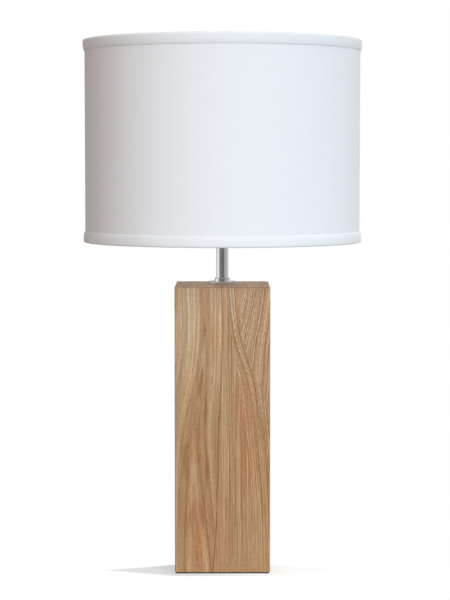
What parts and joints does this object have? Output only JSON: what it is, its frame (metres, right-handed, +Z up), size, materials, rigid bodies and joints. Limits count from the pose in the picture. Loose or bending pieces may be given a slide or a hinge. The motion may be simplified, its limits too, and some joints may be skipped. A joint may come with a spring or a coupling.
{
  "type": "table lamp",
  "caption": "Table lamp with a square wood-veneered column, a short bright metal stem and a drum shade held on a wire harp over a screw-in bulb.",
  "frame": {"origin": "on the floor or table top, under the middle of the column", "axes": "+Z up along the stem, front of the lamp towards -Y, +X to the right seen from the front"},
  "size_m": [0.381, 0.381, 0.7235],
  "materials": {
    "felt": "matt",
    "oak_veneer": "satin",
    "board_core": "matt",
    "cast_iron": "matt",
    "zinc_plated_steel": "satin",
    "polished_metal": "polished",
    "brass": "satin",
    "black_plastic": "matt",
    "insulating_paper": "matt",
    "switch_moulding": "matt",
    "plated_shell": "satin",
    "black_glass": "gloss",
    "frosted_glass": "matt",
    "plated_wire": "satin",
    "white_wire": "gloss",
    "shade_styrene": "matt",
    "shade_cloth": "matt",
    "trim_cloth": "matt"
  },
  "bodies": {
    "base": {"foot_pad": "felt", "front_panel": "oak_veneer", "right_panel": "oak_veneer", "left_panel": "oak_veneer", "back_panel": "oak_veneer", "top_board": "oak_veneer", "bottom_board": "board_core", "bottom_board_screws": "zinc_plated_steel", "corner_blocks": "board_core", "base_weight": "cast_iron", "lamp_pipe": "zinc_plated_steel", "bottom_washer": "zinc_plated_steel", "bottom_nut": "zinc_plated_steel", "weight_washer": "zinc_plated_steel", "weight_nut": "zinc_plated_steel", "cord_grommet": "black_plastic", "stem_flange": "polished_metal", "stem_collar": "polished_metal", "stem_tube": "polished_metal", "stem_top_washer": "polished_metal", "harp_saddle": "plated_wire", "socket_cap": "plated_shell", "cap_set_screw": "zinc_plated_steel", "socket_shell": "plated_shell", "socket_liner": "insulating_paper", "socket_interior": "switch_moulding", "terminal_screws": "brass", "screw_shell": "plated_shell", "centre_contact": "brass"},
    "switch": {"switch_spindle": "brass", "switch_knob": "black_plastic"},
    "bulb_rise": {"bulb_contact": "brass"},
    "bulb": {"bulb_insulator": "black_glass", "bulb_cap": "plated_shell", "bulb_globe": "frosted_glass"},
    "harp": {"harp_wire": "plated_wire", "harp_stud": "plated_wire"},
    "left_sleeve": {"left_harp_sleeve": "plated_wire"},
    "right_sleeve": {"right_harp_sleeve": "plated_wire"},
    "shade": {"spider_hub": "white_wire", "spider_arms": "white_wire", "top_ring": "white_wire", "bottom_ring": "white_wire", "shade_liner": "shade_styrene", "shade_fabric": "shade_cloth", "top_trim": "trim_cloth", "bottom_trim": "trim_cloth"},
    "finial_rise": {"finial_insert": "brass"},
    "finial": {"finial_knob": "polished_metal"}
  },
  "joints": [
    {"name": "switch_turn", "type": "hinge", "parent": "base", "child": "switch", "pos_m": [0, -0.025, 0.4975], "axis": [0, 1, 0], "continuous": true},
    {"name": "bulb_lift", "type": "slide", "parent": "base", "child": "bulb_rise", "axis": [0, 0, 1], "range_m": [0, 0.01543]},
    {"name": "bulb_unscrew", "type": "hinge", "parent": "bulb_rise", "child": "bulb", "pos_m": [0, 0, 0.55], "axis": [0, 0, 1], "range_deg": [0, 1530]},
    {"name": "harp_lift", "type": "slide", "parent": "base", "child": "harp", "axis": [0, 0, 1], "range_m": [0, 0.03]},
    {"name": "left_sleeve_lift", "type": "slide", "parent": "harp", "child": "left_sleeve", "axis": [0, 0, 1], "range_m": [0, 0.012]},
    {"name": "right_sleeve_lift", "type": "slide", "parent": "harp", "child": "right_sleeve", "axis": [0, 0, 1], "range_m": [0, 0.012]},
    {"name": "shade_turn", "type": "hinge", "parent": "harp", "child": "shade", "pos_m": [0, 0, 0.7038], "axis": [0, 0, 1], "continuous": true},
    {"name": "finial_lift", "type": "slide", "parent": "harp", "child": "finial_rise", "axis": [0, 0, 1], "range_m": [0, 0.00754]},
    {"name": "finial_unscrew", "type": "hinge", "parent": "finial_rise", "child": "finial", "pos_m": [0, 0, 0.71], "axis": [0, 0, 1], "range_deg": [0, 2880]}
  ],
  "couplings": [
    {"joint": "bulb_lift", "follows": "bulb_unscrew", "m_per_rad": 0.0005775},
    {"joint": "finial_lift", "follows": "finial_unscrew", "m_per_rad": 0.00014972}
  ]
}
